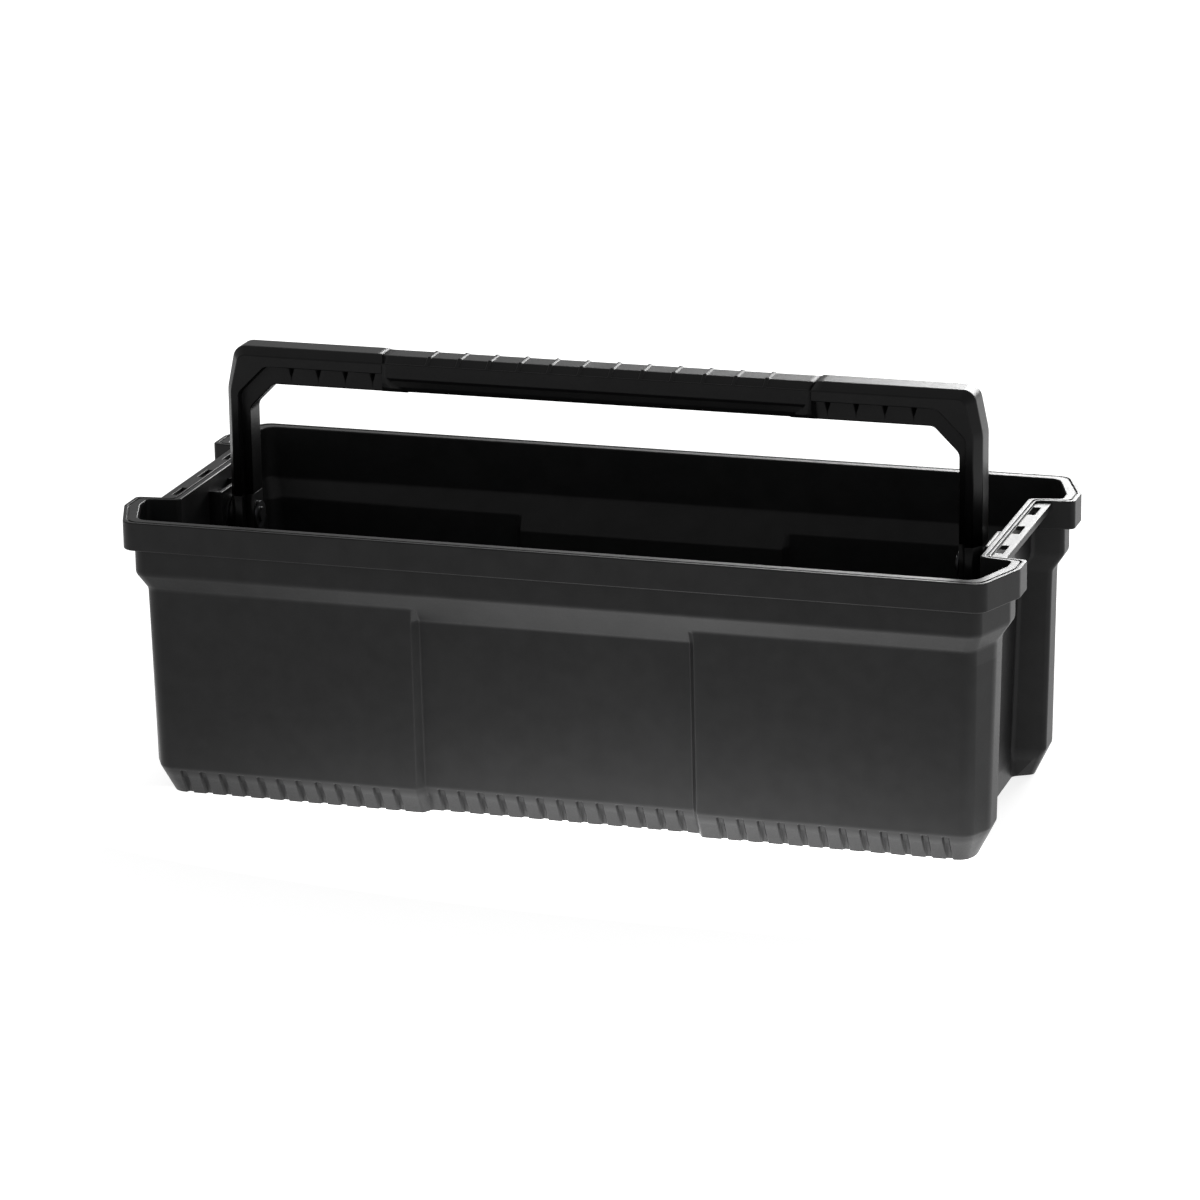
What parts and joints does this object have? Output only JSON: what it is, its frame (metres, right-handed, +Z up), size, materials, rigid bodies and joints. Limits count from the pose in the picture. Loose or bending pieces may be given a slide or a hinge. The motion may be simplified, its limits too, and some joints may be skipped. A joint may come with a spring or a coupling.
{
  "type": "tool storage caddy",
  "caption": "Long open-topped moulded tray with a flanged rim, recessed ends with slotted ledges, and a ribbed-grip carrying handle that folds down into it.",
  "frame": {"origin": "centre of the underside, on the surface that the tray stands on", "axes": "+X along the tray, +Y across it, +Z up to the handle"},
  "size_m": [0.602, 0.262, 0.2843],
  "materials": {
    "tray_plastic": "fine moulded texture, black",
    "handle_plastic": "fine moulded texture, black, slightly smoother than the tray",
    "grip_rubber": "soft-touch, matt black",
    "pin_plastic": "smooth black nylon",
    "washer_plastic": "smooth dark acetal",
    "ring_steel": "black phosphated spring steel"
  },
  "bodies": {
    "tray": {"tray_body": "tray_plastic", "pivot_pin_left": "pin_plastic", "pivot_pin_right": "pin_plastic", "pivot_washer_left": "washer_plastic", "pivot_washer_right": "washer_plastic", "retaining_ring_left": "ring_steel", "retaining_ring_right": "ring_steel"},
    "handle": {"handle_frame": "handle_plastic", "grip_sleeve": "grip_rubber"}
  },
  "joints": [
    {"name": "handle_fold", "type": "hinge", "parent": "tray", "child": "handle", "pos_m": [0, 0, 0.166], "axis": [1, 0, 0], "range_deg": [-90, 90]}
  ]
}
